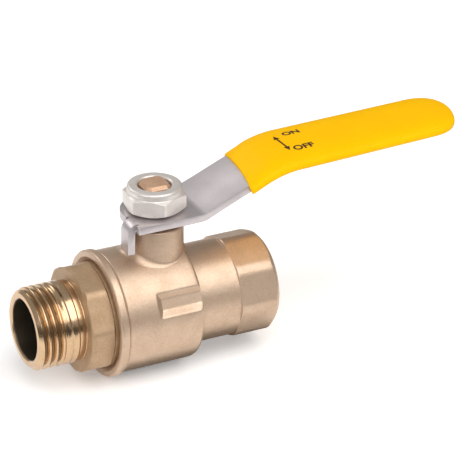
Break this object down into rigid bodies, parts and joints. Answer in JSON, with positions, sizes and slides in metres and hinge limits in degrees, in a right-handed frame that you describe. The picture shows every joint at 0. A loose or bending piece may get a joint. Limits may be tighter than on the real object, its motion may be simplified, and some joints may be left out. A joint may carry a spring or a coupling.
{
  "type": "ball valve",
  "caption": "Quarter-turn ball valve with male and female threaded pipe ends, an octagonal collar, a stem boss with a stop lug, and a cranked steel lever in a plastic sleeve.",
  "frame": {"origin": "centre of the male end face, on the pipe axis", "axes": "+X along the pipe from the male end to the female end, +Z along the stem towards the lever, -Y towards the side with the bare cast panel; the lever is open, along +X"},
  "size_m": [0.1182, 0.0322, 0.0541],
  "materials": {
    "body_brass": "sand-blasted cast brass, satin",
    "adapter_brass": "turned brass, satin",
    "ball_chrome": "chromed and polished",
    "seat_plastic": "white fluoroplastic",
    "stem_brass": "turned brass",
    "seal_rubber": "black nitrile",
    "lever_steel": "zinc-plated pressed steel",
    "sleeve_plastic": "yellow soft plastic",
    "nut_steel": "zinc-plated steel"
  },
  "bodies": {
    "valve_body": {"body": "body_brass", "end_adapter": "adapter_brass", "seat_male": "seat_plastic", "seat_female": "seat_plastic", "thrust_washer": "seat_plastic"},
    "lever": {"lever_plate": "lever_steel", "lever_sleeve": "sleeve_plastic", "lever_nut": "nut_steel", "stem": "stem_brass", "stem_seal_lower": "seal_rubber", "stem_seal_upper": "seal_rubber"},
    "ball": {"ball": "ball_chrome"}
  },
  "joints": [
    {"name": "lever_turn", "type": "hinge", "parent": "valve_body", "child": "lever", "pos_m": [0.0352, 0, 0.02], "axis": [0, 0, 1], "range_deg": [-90, 0]},
    {"name": "ball_turn", "type": "hinge", "parent": "valve_body", "child": "ball", "pos_m": [0.0352, 0, 0], "axis": [0, 0, 1], "range_deg": [-90, 0]}
  ],
  "couplings": [
    {"joint": "ball_turn", "follows": "lever_turn", "ratio": 1}
  ]
}
